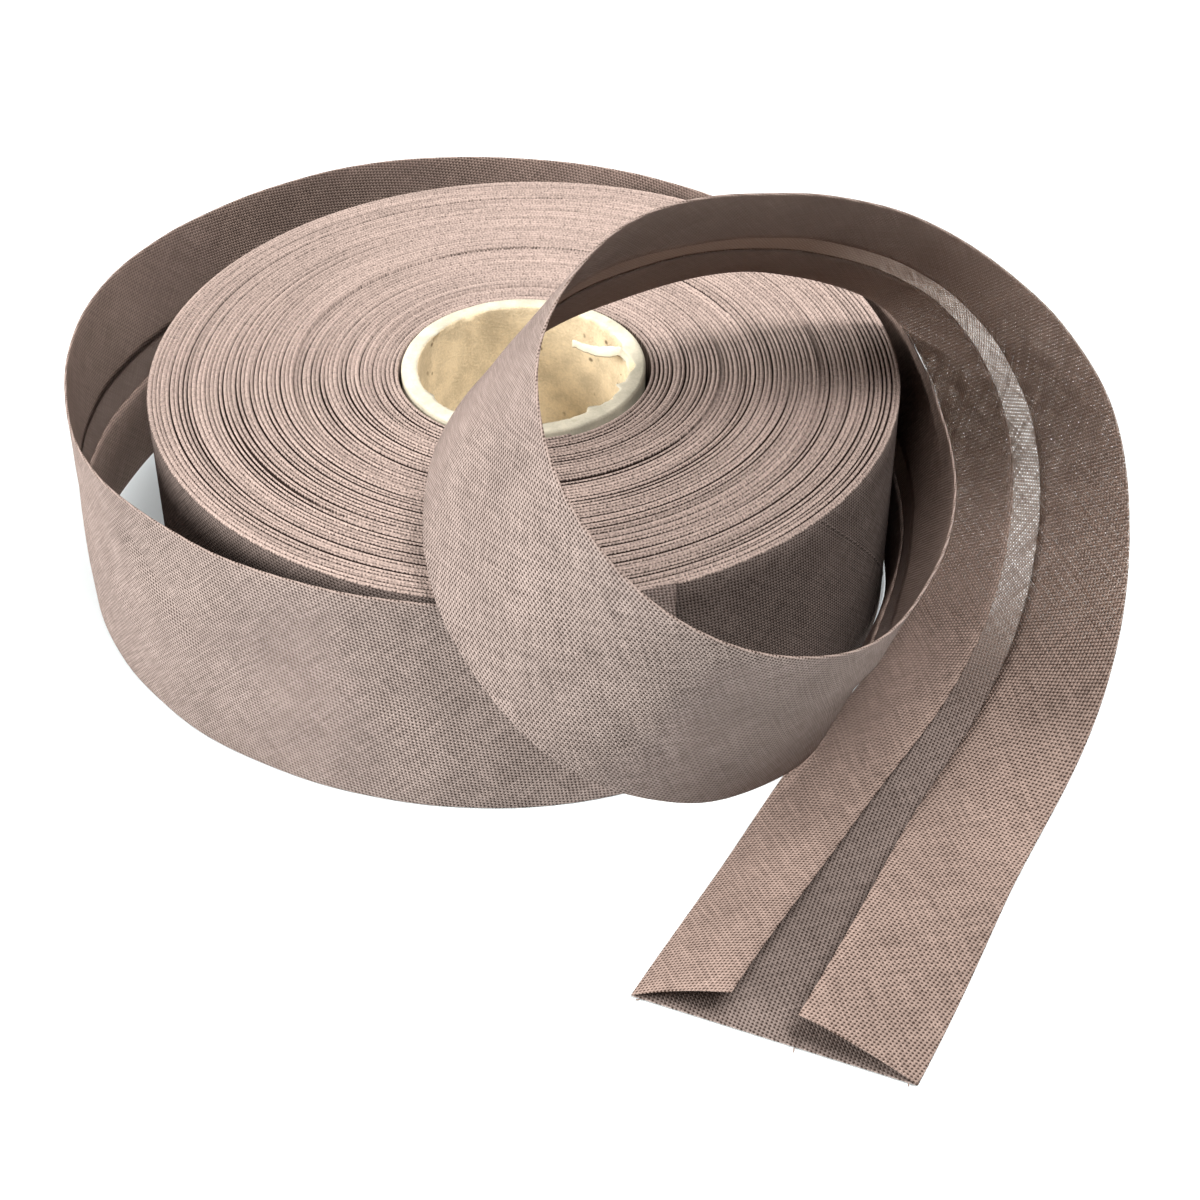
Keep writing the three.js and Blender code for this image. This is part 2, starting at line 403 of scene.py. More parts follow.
class Finish:
    """A material, and the one way of adding nodes to it."""

    def __init__(self, name):
        self.material = bpy.data.materials.new(name)
        self.material.use_nodes = True
        self.tree = self.material.node_tree
        self.tree.nodes.clear()

    def node(self, kind, settings=None, values=None, out=0):
        made = self.tree.nodes.new(kind)
        for name, value in (settings or {}).items():
            setattr(made, name, value)
        for name, value in (values or {}).items():
            if isinstance(value, Field):
                self.tree.links.new(value.socket, made.inputs[name])
            else:
                made.inputs[name].default_value = value
        return Field(self, made.outputs[out])

    def mix(self, factor, first, second, blend="MIX"):
        settings = {"data_type": "RGBA", "blend_type": blend}
        first, second = (value if isinstance(value, Field) else (*value, 1) for value in (first, second))
        return self.node("ShaderNodeMix", settings, {0: factor, 6: first, 7: second}, out=2)

    def vector(self, x, y, z=0.0):
        return self.node("ShaderNodeCombineXYZ", None, {0: x, 1: y, 2: z})

    def noise(self, vector, scale, detail=2.0):
        return self.node("ShaderNodeTexNoise", None, {"Vector": vector, "Scale": scale, "Detail": detail})

    def uv(self, name):
        split = self.node("ShaderNodeSeparateXYZ", None, {0: self.node("ShaderNodeUVMap", {"uv_map": name})})
        return split, split.output(1)

    def surface(self, shader):
        """The finished material, with the shader as its surface."""
        end = self.tree.nodes.new("ShaderNodeOutputMaterial")
        self.tree.links.new(shader.socket, end.inputs["Surface"])
        return self.material

    def principled(self, values):
        return self.node("ShaderNodeBsdfPrincipled", None, values)

    def bump(self, height, strength, distance):
        values = {"Height": height, "Strength": strength, "Distance": distance}
        return self.node("ShaderNodeBump", None, values)


def scaled(colour, share):
    """A colour made lighter or darker."""
    return tuple(min(channel * share, 1.0) for channel in colour)


def cloth_finish(name, sizes, colours, shade=1.0, sheer=0.0, more=0.0, pores=0.0, flaps=False):
    """Plain weave on the bias, read from the flat cut of the cloth.

    shade darkens the whole cloth as painted shade. sheer is how much light it lets through and more
    adds to that where it is backlit. A lower value of pores opens wider gaps there. flaps paints shade
    on the two turned-in edges and a highlight along their folds.
    """
    finish = Finish(name)
    along, across = finish.uv(FLAT_MAP)
    plane = finish.vector(along, across)
    warp = (along + across) / (math.sqrt(2) * sizes.warp)
    weft = (along - across) / (math.sqrt(2) * sizes.weft)
    warp_wave = (warp * math.pi).sine()
    weft_wave = (weft * math.pi).sine()
    over = warp_wave * weft_wave
    bead = abs(over)
    slub_warp = finish.noise(finish.vector(warp * 0.9, weft * 0.06), 1.0, 1.0)
    slub_weft = finish.noise(finish.vector(warp * 0.06, weft * 0.9, 3.0), 1.0, 1.0)
    slub = slub_warp + slub_weft - 1.0
    cloud = finish.noise(plane, 60.0, 2.0) - 0.5
    tone = (slub * 0.55 + cloud * 0.6 + 0.5).ramp(0.0, 1.0)
    thread = finish.mix(tone, scaled(colours.cloth, 0.74 * shade), scaled(colours.cloth, 1.26 * shade))
    fill = (over + slub * 0.5).ramp(-0.95, 0.3)
    colour = finish.mix(fill, scaled(colours.cloth_gap, shade), thread)
    if flaps:
        upper_fold = sizes.lower_flap + sizes.tape_width
        # Painted shade on the turned-in flaps.
        flap = 1 - across.ramp(sizes.lower_flap - FLAP_EDGE, sizes.lower_flap)
        flap = flap + across.ramp(upper_fold, upper_fold + FLAP_EDGE)
        colour = finish.mix(flap, colour, colours.painted_flap_shade, "MULTIPLY")
        # Painted highlight along each fold.
        lower_highlight = 1 - abs(across - sizes.lower_flap).ramp(*FOLD_HIGHLIGHT)
        upper_highlight = 1 - abs(across - upper_fold).ramp(*FOLD_HIGHLIGHT)
        colour = finish.mix((lower_highlight + upper_highlight) * fill * 0.6, colour, colours.edge)
    bsdf = {
        "Base Color": colour,
        "Roughness": 0.9,
        "Specular IOR Level": 0.0,
        "Normal": finish.bump(bead + over * 0.3, 0.6, 0.12 * MM),
    }
    if not sheer:
        return finish.surface(finish.principled(bsdf))
    faded = 1 - along.ramp(BACKLIT["fades"], BACKLIT["to"])
    glowing = along.ramp(BACKLIT["glow"], BACKLIT["from"]) * faded
    gap = (1 - abs(warp_wave)) * (1 - abs(weft_wave)) - slub * 0.4
    opened = along.ramp(BACKLIT["from"], BACKLIT["full"])
    bsdf["Alpha"] = 1 - gap.ramp(pores, pores + 0.15) * opened * faded
    cloth = finish.principled(bsdf)
    through = finish.node("ShaderNodeBsdfTranslucent", None, {"Color": (*colours.glow, 1)})
    passed = (1.3 - fill) * (glowing * more + sheer)
    cloth = finish.node("ShaderNodeMixShader", None, {0: passed, 1: cloth, 2: through})
    return finish.surface(cloth)


def edge_finish(sizes, colours):
    """Folded edges of the wound turns: beads of thread along each turn, with painted shade between turns."""
    finish = Finish("wound edges")
    along, across = finish.uv(EDGE_MAP)
    depth = finish.node("ShaderNodeAttribute", {"attribute_name": PAINTED_GROOVE_SHADE}, None, out="Fac")
    beads = TURN / (sizes.warp * math.sqrt(2))
    twist = (along * beads + across * 3.1).sine()
    counter = (along * beads * 1.32 - across * 2.6 + 1.0).sine()
    bead = (twist + counter) * 0.25 + 0.5
    patch = finish.noise(finish.vector(along * 45.0, across * 0.75), 1.0, 2.0) - 0.5
    speck = finish.noise(finish.vector(along * 1500.0, across * 2.6), 1.0, 2.0) - 0.5
    tone = (0.36 + bead * 0.28 + patch * 0.9 + speck * 1.2).ramp(0.0, 1.0)
    thread = finish.mix(tone, scaled(colours.edge, 0.62), scaled(colours.edge, 1.3))
    # Painted shade: deeper grooves take more of the groove colour.
    shade = (depth + (0.5 - bead) * 0.3 - speck * 0.6).ramp(0.08, 0.6)
    colour = finish.mix(shade, thread, colours.groove)
    bsdf = {
        "Base Color": colour,
        "Roughness": 0.92,
        "Specular IOR Level": 0.0,
        "Normal": finish.bump(bead, 0.7, 0.14 * MM),
    }
    return finish.surface(finish.principled(bsdf))


def card_finish(name, colour, fleck, fleck_share, grain):
    """Rough card: mottled paper with stray flecks and short fibres."""
    finish = Finish(name)
    place = finish.node("ShaderNodeTexCoord", None, None, out="Object")
    mottle = finish.noise(place, 260.0, 4.0)
    fibre = finish.noise(place, 2400.0, 3.0)
    cells = finish.node("ShaderNodeTexVoronoi", None, {"Vector": place, "Scale": 330.0})
    spots = finish.noise(place, 330.0, 1.0)
    dark = (1 - cells.ramp(0.08, 0.2)) * spots.ramp(0.52, 0.62)
    tone = ((mottle - 0.5) * 1.9 + (fibre - 0.5) * grain + 0.5).ramp(0.0, 1.0)
    paper = finish.mix(tone, scaled(colour, 0.8), scaled(colour, 1.16))
    bsdf = {
        "Base Color": finish.mix(dark * fleck_share, paper, fleck),
        "Roughness": 0.9,
        "Specular IOR Level": 0.2,
        "Normal": finish.bump(fibre + mottle * 0.6, 0.6, 0.15 * MM),
    }
    return finish.surface(finish.principled(bsdf))


def floor_finish(colours):
    """Pale matte floor that glows like a lit table."""
    finish = Finish("pale floor")
    bsdf = {
        "Base Color": (*colours.floor, 1),
        "Roughness": 0.95,
        "Specular IOR Level": 0.0,
        "Emission Color": (*colours.floor, 1),
        "Emission Strength": FLOOR["glow"],
    }
    return finish.surface(finish.principled(bsdf))


def add_piece(name, mesh_maker, materials, replaces=()):
    """Turns a finished bmesh into a piece that rides on the part."""
    mesh = bpy.data.meshes.new(name)
    mesh_maker.to_mesh(mesh)
    mesh_maker.free()
    if not mesh.polygons:
        raise RuntimeError(f"{name} has no faces")
    for material in materials:
        mesh.materials.append(material)
    mesh.polygons.foreach_set("use_smooth", [True] * len(mesh.polygons))
    piece = bpy.data.objects.new(name, mesh)
    bpy.context.scene.collection.objects.link(piece)
    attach(piece, "root")
    if replaces:
        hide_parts(*replaces)
    return piece


def wander(*place):
    """Smooth noise from -1 to 1 at a place. Its last value keeps one noise apart from another."""
    return noise.noise(Vector((*place, 0.0, 0.0)[:3]))


def polar(radius, bearing, height):
    """Point at a radius and bearing round the roll's axis."""
    return AXIS + Vector((radius * math.cos(bearing), radius * math.sin(bearing), height))


def soft_step(value, low, high):
    """Soft step from 0 at low to 1 at high."""
    share = min(max((value - low) / (high - low), 0.0), 1.0)
    return share * share * (3 - 2 * share)


# Wound roll


def turn_pitch(sizes):
    """Distance from one wound turn to the next."""
    return (sizes.roll_radius - sizes.roll_bore) / sizes.turns


def inner_turns(wound, turns):
    """1 for turns inside the roll, easing to 0 over the first and the last one."""
    return soft_step(wound, 0.0, TURN) * (1 - soft_step(wound, TURN * (turns - 2), TURN * (turns - 1)))


def groove_at(wound, turns):
    """Depth in mm of the groove on the inner side of the turn, by the angle wound so far."""
    slow = wander(wound * GROOVE_NOISE["slow"], 4.0)
    quick = wander(wound * GROOVE_NOISE["quick"], 11.0)
    deep = soft_step(slow + 0.5 * quick, GROOVE_NOISE["deep_from"], GROOVE_NOISE["deep_to"])
    away = math.radians(LAST_TURN["from"] - LOOSE["at"]) - wound
    looser = LOOSE["tight"] + LOOSE["more"] * max(math.cos(away), 0.0)
    depth = GROOVE["usual"] + GROOVE["quick"] * quick + GROOVE["deep"] * deep
    return GROOVE["least"] + inner_turns(wound, turns) * depth * looser


def drift_at(wound, turns):
    """Sideways shift of the groove, as a share of one turn."""
    shift = sum(row["size"] * wander(wound * row["quick"], row["noise"]) for row in SHIFT_WAVES)
    return inner_turns(wound, turns) * shift


def face_drop(radius, wound):
    """How far in mm a turn's edge stands below the tape's full width."""
    drop = next(row["drop"] for row in FACE_BANDS if radius <= row["out_to"] * MM + 1e-6)
    for row in DROP_WAVES:
        drop += row["size"] * (1 + wander(wound * row["quick"], row["noise"]))
    return drop


def wound_profile(sizes):
    """Rows of the roll's section from the bore over the face, down the wall and back underneath."""
    rows = []
    whole = sizes.turns - 1
    for turn in range(whole):
        rows += [{"part": "face", "turn": turn, **point} for point in TURN_POINTS]
    rows.append({"part": "face", "turn": whole, **TURN_POINTS[0]})
    rows += [{"part": "wall", "turn": whole, "share": 0.0, "down": (i + 1) / (WALL["steps"] + 1)}
             for i in range(WALL["steps"])]
    for turn in range(whole, 0, -1):
        rows.append({"part": "under", "turn": turn, "share": 0.0, "drop": 1.0})
        rows.append({"part": "under", "turn": turn - 1, "share": 0.5, "drop": 0.0})
    rows.append({"part": "under", "turn": 0, "share": 0.0, "drop": 1.0})
    return rows


def wound_point(row, step, sizes):
    """Radius, height and painted shade of one point of the wound roll."""
    pitch = turn_pitch(sizes)
    angle = TURN * step / sizes.round_steps
    wound = TURN * row["turn"] + angle
    share = row["share"]
    first, second = (drift_at(wound + TURN * k, sizes.turns) for k in (0, 1))
    place = first + (1 + second - first) * share
    radius = sizes.roll_bore + pitch * (row["turn"] + place + angle / TURN)
    if row["part"] == "wall":
        low, high = WALL["foot"] * MM, sizes.tape_width - WALL["top"] * MM
        return radius, high + (low - high) * row["down"], 0.0
    if row["part"] == "under":
        # Painted shade underneath the roll.
        return radius, row["drop"] * WALL["foot"] * MM, row["drop"] * WALL["painted_under_shade"]
    groove = groove_at(wound if share < 0.5 else wound + TURN, sizes.turns)
    drop = row["drop"] * (groove if row["drop"] == 1.0 else min(groove, GROOVE["shoulder"]))
    ridge = face_drop(radius, wound + TURN * (share - 0.5))
    # Painted shade in the groove, darker the deeper the groove.
    dark = min(row["dark"] * groove / GROOVE["black_at"], 1.0)
    return radius, sizes.tape_width - (ridge + drop) * MM, dark


def build_wound_roll(sizes):
    """Spins the section of the turns once round the axis, then draws it out into a spiral."""
    rows = wound_profile(sizes)
    steps = sizes.round_steps
    maker = bmesh.new()
    index = maker.verts.layers.int.new("row")
    pitch = turn_pitch(sizes)
    start = math.radians(LAST_TURN["from"])
    ring = []
    for i, row in enumerate(rows):
        radius = sizes.roll_bore + pitch * (row["turn"] + row["share"])
        vert = maker.verts.new(polar(radius, start, i * SPIN["apart"]))
        vert[index] = i
        ring.append(vert)
    edges = [maker.edges.new(pair) for pair in zip(ring, ring[1:] + ring[:1])]
    short = TURN - SPIN["short"]
    bmesh.ops.spin(maker, geom=ring + edges, cent=AXIS, axis=(0, 0, -1), angle=short, steps=steps)
    # Each point carries its painted groove shade for the material.
    depth = maker.verts.layers.float.new(PAINTED_GROOVE_SHADE)
    flat = maker.loops.layers.uv.new(FLAT_MAP)
    edge = maker.loops.layers.uv.new(EDGE_MAP)
    where = {}
    for vert in maker.verts:
        offset = vert.co - AXIS
        turned = (start - math.atan2(offset.y, offset.x) + 0.5 * (TURN - short)) % TURN
        where[vert] = min(round(turned * steps / short), steps)
    for vert, step in where.items():
        row = rows[vert[index]]
        radius, height, dark = wound_point(row, step, sizes)
        vert.co = polar(radius, start - TURN * step / steps, height)
        vert[depth] = dark
    count = len(rows)
    for face in maker.faces:
        picked = [loop.vert[index] for loop in face.loops]
        low = min(picked) if max(picked) - min(picked) < count // 2 else max(picked)
        row = rows[low]
        turn = row["turn"] if row["part"] != "under" else max(row["turn"] - 1, 0)
        wall = row["part"] == "wall" or (row["part"] == "face" and row["turn"] == sizes.turns - 1)
        face.material_index = 1 if wall else 0
        for loop in face.loops:
            own = rows[loop.vert[index]]
            wound = TURN * turn + TURN * where[loop.vert] / steps
            middle = sizes.roll_bore + pitch * wound / (2 * TURN)
            length = wound * middle
            across = own["share"] + (own["turn"] - turn)
            loop[edge].uv = (length, across)
            loop[flat].uv = (length, loop.vert.co.z - AXIS.z)
    bmesh.ops.remove_doubles(maker, verts=maker.verts, dist=SPIN["weld"])
    gaps = [item for item in maker.edges if item.is_boundary]
    bmesh.ops.holes_fill(maker, edges=gaps, sides=0)
    bmesh.ops.recalc_face_normals(maker, faces=maker.faces)
    return maker


# Loose end


def route_rows(sizes):
    """Middle of the tape and direction of its upper edge, from the roll to the cut end."""
    rows = []
    half = sizes.tape_width / 2
    steps = round((LAST_TURN["from"] - LAST_TURN["to"]) / LAST_TURN["step"])
    for i in range(steps + 1):
        bearing = LAST_TURN["from"] - LAST_TURN["step"] * i
        reach = min(abs(bearing - SLACK["at"]) / SLACK["over"], 1.0)
        radius = (SLACK["radius"] + SLACK["reach"] * math.cos(reach * math.pi / 2) ** 2) * MM
        eased = soft_step(LAST_TURN["from"] - bearing, 0.0, LAST_TURN["ease"])
        radius = (sizes.roll_radius - LAST_TURN["sunk"] * MM) * (1 - eased) + radius * eased
        rows.append((polar(radius, math.radians(bearing), half), Vector((0, 0, 1))))
    for row in LOOP:
        lean, toward = math.radians(row["lean"]), math.radians(row["toward"])
        tip = math.sin(lean)
        upper = Vector((tip * math.cos(toward), tip * math.sin(toward), math.cos(lean)))
        rows.append((AXIS + Vector(row["at"]) * MM, upper))
    return rows


def smooth_path(points, share):
    """Point on a soft curve through the points, share of the way from one to the next."""
    last = len(points) - 1
    i = min(int(share), last - 1)
    t = share - i
    a, b, c, d = (points[min(max(i + k, 0), last)] for k in (-1, 0, 1, 2))
    return 0.5 * (2 * b + (c - a) * t + (2 * a - 5 * b + 4 * c - d) * t * t
                  + (3 * b - a - 3 * c + d) * t * t * t)


def even_stations(sizes):
    """Evenly spaced stations along the loose end, with the length run so far."""
    rows = route_rows(sizes)
    count = ROUTE["stations"]
    fine = ROUTE["steps"] * (len(rows) - 1)
    shares = [i / ROUTE["steps"] for i in range(fine + 1)]
    middles = [smooth_path([row[0] for row in rows], share) for share in shares]
    uppers = [smooth_path([row[1] for row in rows], share) for share in shares]
    for _ in range(ROUTE["passes"]):
        inner = [0.25 * a + 0.5 * b + 0.25 * c for a, b, c in zip(middles, middles[1:], middles[2:])]
        middles = [middles[0], *inner, middles[-1]]
    run = [0.0]
    for a, b in zip(middles, middles[1:]):
        run.append(run[-1] + (b - a).length)
    stations = []
    i = 0
    for k in range(count + 1):
        want = run[-1] * k / count
        while i < fine - 1 and run[i + 1] < want:
            i += 1
        t = (want - run[i]) / (run[i + 1] - run[i])
        stations.append({"middle": middles[i].lerp(middles[i + 1], t),
                         "upper": uppers[i].lerp(uppers[i + 1], t), "run": want})
    for k, station in enumerate(stations):
        ahead = stations[min(k + 1, count)]["middle"] - stations[max(k - 1, 0)]["middle"]
        ahead.normalize()
        upper = station["upper"] - ahead * station["upper"].dot(ahead)
        station["upper"] = upper.normalized()
        station["inside"] = ahead.cross(station["upper"])
    return stations


def section_columns():
    """Columns of cloth across the flat strip, from the lower raw edge to the upper one."""
    columns = []
    for row in SECTION:
        for i in range(1 if columns else 0, row["steps"] + 1):
            share = i / row["steps"]
            columns.append({**row, "share": share if row["side"] > 0 else 1 - share})
    return columns


def section_point(column, sizes, lift):
    """Place of the layer's middle: along the tape's plane, and toward its inside face."""
    side = column["side"]
    fold_at = sizes.tape_width / 2 - sizes.fold - sizes.cloth / 2
    if column["stretch"] == "base":
        return fold_at * (2 * column["share"] - 1), 0.0
    sweep = (math.pi - lift) * (column["share"] if column["stretch"] == "fold" else 1.0)
    flap = (sizes.upper_flap if side > 0 else sizes.lower_flap) - sizes.fold
    length = flap * column["share"] if column["stretch"] == "flap" else 0.0
    bow = CUT_END["bow"] * lift * length * (1 - length / flap)
    along = side * (fold_at + sizes.fold * math.sin(sweep) - length * math.cos(lift))
    return along, sizes.fold * (1 - math.cos(sweep)) + length * math.sin(lift) + bow


def flat_offsets(columns, sizes):
    """Distance of each column from the lower raw edge on the flat cut strip."""
    offsets = [0.0]
    points = [section_point(column, sizes, 0.0) for column in columns]
    for (a, b), (c, d) in zip(points, points[1:]):
        offsets.append(offsets[-1] + math.hypot(c - a, d - b))
    return offsets


def crease_at(run, across):
    """Rise in mm of the listed creases at a place on the tape in mm."""
    rise = 0.0
    for row in CREASES:
        slope = math.radians(row["slope"])
        x, y = run - row["run"], across - row["across"]
        down = x * math.cos(slope) + y * math.sin(slope)
        off = (y * math.cos(slope) - x * math.sin(slope)) / row["width"]
        if abs(off) < CREASE["reach"]:
            faded = 1 - soft_step(abs(down), CREASE["fades"] * row["half"], row["half"])
            rise += row["rise"] * math.exp(-off * off) * faded
    return rise


def wave_at(run, along, free):
    """How far the cloth stands off its section: soft waves and the placed creases."""
    wave = 0.0
    for row in WAVES:
        place = (run * row["along"], along * row["across"], row["noise"])
        wave += row["rise"] * MM * free * wander(*place)
    return wave + crease_at(run / MM, along / MM) * MM


def build_loose_tape(sizes):
    """Folds a flat grid of cloth to the tape's section and lays it along the route."""
    columns = section_columns()
    offsets = flat_offsets(columns, sizes)
    stations = even_stations(sizes)
    count = len(stations) - 1
    length = stations[-1]["run"]
    maker = bmesh.new()
    bmesh.ops.create_grid(maker, x_segments=len(columns) - 1, y_segments=count, size=0.5)
    flat = maker.loops.layers.uv.new(FLAT_MAP)
    where = {}
    for vert in maker.verts:
        column = round((vert.co.x + 0.5) * (len(columns) - 1))
        where[vert] = (column, round((vert.co.y + 0.5) * count))
    skew = {}
    for vert, (i, k) in where.items():
        column, station = columns[i], stations[k]
        run = station["run"]
        left = length - run
        cut = soft_step(CUT_END["over"] - left, 0.0, CUT_END["over"]) ** CUT_END["curl"]
        free = soft_step(run, 0.0, FREE_AFTER)
        uneven = 1 + wander(run * FLAP_REST["along"], column["side"] * FLAP_REST["apart"])
        rest = FLAP_REST["least"] + FLAP_REST["more"] * free * uneven
        lift = rest + math.radians(CUT_END["upper" if column["side"] > 0 else "lower"]) * cut
        along, across = section_point(column, sizes, lift)
        near = soft_step(CUT_END["near"] - left, 0.0, CUT_END["near"])
        along *= 1 + CUT_END["spread"] * near
        skew[vert] = CUT_END["skew"] * along * near
        wave = wave_at(run, along, free)
        wave *= 1 - soft_step(run, length - LAID["from"], length - LAID["to"])
        point = station["middle"] + station["upper"] * along + station["inside"] * (across + wave)
        point += station["upper"].cross(station["inside"]) * skew[vert]
        point.z = max(point.z, sizes.cloth * LAID["lowest"])
        vert.co = point
    for face in maker.faces:
        for loop in face.loops:
            i, k = where[loop.vert]
            loop[flat].uv = (stations[k]["run"] + skew[loop.vert], offsets[i])
    bmesh.ops.recalc_face_normals(maker, faces=maker.faces)
    middle = len(columns) // 2
    start = {(middle, 0), (middle, 1)}
    probe = next(face for face in maker.faces if start <= {where[vert] for vert in face.verts})
    if probe.normal.dot(stations[0]["inside"]) > 0:
        bmesh.ops.reverse_faces(maker, faces=maker.faces)
    key = maker.faces.layers.int.new("patch")
    right_side = []
    for i, face in enumerate(maker.faces):
        face[key] = i
        right_side.append(face.normal.copy())
    bmesh.ops.solidify(maker, geom=maker.faces, thickness=sizes.cloth)
    bmesh.ops.recalc_face_normals(maker, faces=maker.faces)
    for face in maker.faces:
        wrong = face.normal.dot(right_side[face[key]]) < -0.5
        face.material_index = 1 if wrong else 0
    return maker, (offsets[-1], length)


# Card core


def ragged(bearing):
    """How far in mm the torn paper reaches in past the bore at a bearing in degrees."""
    reach = RAGGED_REACH
    for row in RAGGED_WAVES:
        reach += row["size"] * wander(bearing * row["quick"], row["noise"])
    for nick in EDGE_NICKS:
        away = abs((bearing - nick["bearing"] + 180) % 360 - 180) / nick["width"]
        reach += nick["reach"] * max(1 - away, 0.0)
    return reach


def build_card_core(sizes):
    """Spins the card tube, then frays its inner edge and adds the curled sliver."""
    maker = bmesh.new()
    walls = {"bore": sizes.core_bore, "outer": (CORE_HIGH.x - CORE_LOW.x) / 2}
    high = CORE_HIGH.z - CORE_LOW.z + CARD["proud"] * MM
    index = maker.verts.layers.int.new("row")
    ring = []
    for i, row in enumerate(CARD_SECTION):
        radius = walls[row["wall"]] + row.get("off", 0.0) * MM
        vert = maker.verts.new(polar(radius, 0.0, high * row["share"] + row.get("up", 0.0) * MM))
        vert[index] = i
        ring.append(vert)
    edges = [maker.edges.new(pair) for pair in zip(ring, ring[1:] + ring[:1])]
    bmesh.ops.spin(maker, geom=ring + edges, cent=AXIS, axis=(0, 0, 1), angle=TURN,
                   steps=CARD["steps"], use_merge=True)
    for vert in maker.verts:
        offset = vert.co - AXIS
        bearing = math.degrees(math.atan2(offset.y, offset.x))
        i = vert[index]
        row = CARD_SECTION[i]
        wave = CARD_WAVES.get(row["part"])
        radius = Vector(offset.xy).length
        if row["part"] == "torn":
            radius -= ragged(bearing) * MM * row["torn"]
            offset.z += wave["size"] * MM * wander(bearing * wave["quick"], wave["noise"])
        elif row["part"] == "end":
            offset.z += wave["size"] * MM * wander(bearing * wave["quick"], i, wave["noise"])
        elif row["part"] == "bore":
            radius += wave["size"] * MM * wander(bearing * wave["quick"], i * 2.0, wave["noise"])
            for fold in BORE_FOLDS:
                slant = fold["slant"] * (1 - offset.z / high)
                away = (bearing - fold["bearing"] - slant + 180) % 360 - 180
                radius -= fold["rise"] * MM * max(1 - abs(away) / BORE_FOLD_WIDTH, 0.0)
        vert.co = polar(radius, math.radians(bearing), offset.z)
    for face in maker.faces:
        last = max(vert[index] for vert in face.verts)
        face.material_index = 1 if CARD_SECTION[last]["part"] == "bore" else 0
    add_sliver(maker)
    bmesh.ops.recalc_face_normals(maker, faces=maker.faces)
    return maker


def add_sliver(maker):
    """Torn strip of paper that stands on edge at its root and curls in over the bore."""
    middles = [AXIS + Vector(row["at"]) * MM for row in SLIVER]
    segments = {"x_segments": PAPER["across"], "y_segments": PAPER["along"]}
    grid = bmesh.ops.create_grid(maker, **segments, size=0.5)
    verts = grid["verts"]
    for vert in verts:
        share = (vert.co.y + 0.5) * (len(SLIVER) - 1)
        middle = smooth_path(middles, share)
        i = min(int(share), len(SLIVER) - 2)
        width = SLIVER[i]["width"] + (SLIVER[i + 1]["width"] - SLIVER[i]["width"]) * (share - i)
        width += PAPER["ragged"] * wander(share * PAPER["quick"], vert.co.x * 2, 71.0)
        eased = soft_step(share, 0.0, SLIVER_TURN["over"])
        turn = math.radians(SLIVER_TURN["root"] - (SLIVER_TURN["root"] - SLIVER_TURN["tip"]) * eased)
        flat = math.cos(turn)
        side = Vector((math.sin(turn), SLIVER_TURN["back"] * flat, SLIVER_TURN["up"] * flat))
        curl = PAPER["hollow"] * MM * (1 - 4 * vert.co.x ** 2)
        vert.co = middle + side * (vert.co.x * width * MM) + Vector((0, 0, curl))
    faces = list(dict.fromkeys(face for vert in verts for face in vert.link_faces))
    for face in faces:
        face.material_index = 2
    bmesh.ops.solidify(maker, geom=faces, thickness=PAPER["thick"] * MM)


# Seam and stray threads


def add_strand(maker, points, thick):
    """Thin round strand through the points, closed at both ends."""
    rings = []
    last = len(points) - 1
    for i, point in enumerate(points):
        ahead = points[min(i + 1, last)] - points[max(i - 1, 0)]
        place = Matrix.Translation(point) @ ahead.to_track_quat("Z", "Y").to_matrix().to_4x4()
        ring = bmesh.ops.create_circle(maker, segments=STRAND_SIDES, radius=thick / 2, matrix=place)["verts"]
        edges = []
        for vert in ring:
            edges += [edge for edge in vert.link_edges if edge not in edges]
        rings.append(edges)
    for start, end in zip(rings, rings[1:]):
        bmesh.ops.bridge_loops(maker, edges=start + end)
    bmesh.ops.holes_fill(maker, edges=rings[0] + rings[-1], sides=0)


def build_join_seam(sizes):
    """Row of stitches where two bias strips are joined, slanting down the roll's wall."""
    maker = bmesh.new()
    pitch = turn_pitch(sizes)
    start = math.radians(LAST_TURN["from"])
    down = SEAM["top"]
    while down < sizes.tape_width / MM - SEAM["foot"]:
        points = []
        for share in STRAND_SHARES:
            drop = down + SEAM["stitch"] * share / math.sqrt(2)
            bearing = math.radians(SEAM["bearing"]) + drop * MM / sizes.roll_radius
            wound = (start - bearing) % TURN / TURN
            wall = sizes.roll_radius - pitch * (1 - wound)
            arch = SEAM["arch"] * math.sin(math.pi * share) - SEAM["sunk"]
            points.append(polar(wall + arch * MM, bearing, sizes.tape_width - drop * MM))
        add_strand(maker, points, SEAM["thick"] * MM)
        down += SEAM["every"] / math.sqrt(2)
    bmesh.ops.recalc_face_normals(maker, faces=maker.faces)
    return maker


def build_strays(sizes):
    """Short thread ends that stand out of the cut end."""
    maker = bmesh.new()
    end = even_stations(sizes)[-1]
    ahead = end["upper"].cross(end["inside"])
    for row in STRAYS:
        along = (row["share"] - 0.5) * (sizes.tape_width - STRAY["inset"] * MM) * (1 + CUT_END["spread"])
        root = end["middle"] + end["upper"] * along + ahead * (CUT_END["skew"] * along)
        root.z = STRAY["height"] * MM
        turn = math.radians(row["turn"] - 90)
        points = []
        for share in STRAND_SHARES:
            out = row["length"] * share
            step = ahead * math.cos(turn) * out * MM - end["upper"] * math.sin(turn) * out * MM
            points.append(root + step + Vector((0, 0, row["rise"] * share ** 2 * MM)))
        add_strand(maker, points, STRAY["thick"] * MM)
    bmesh.ops.recalc_face_normals(maker, faces=maker.faces)
    return maker


# Operators


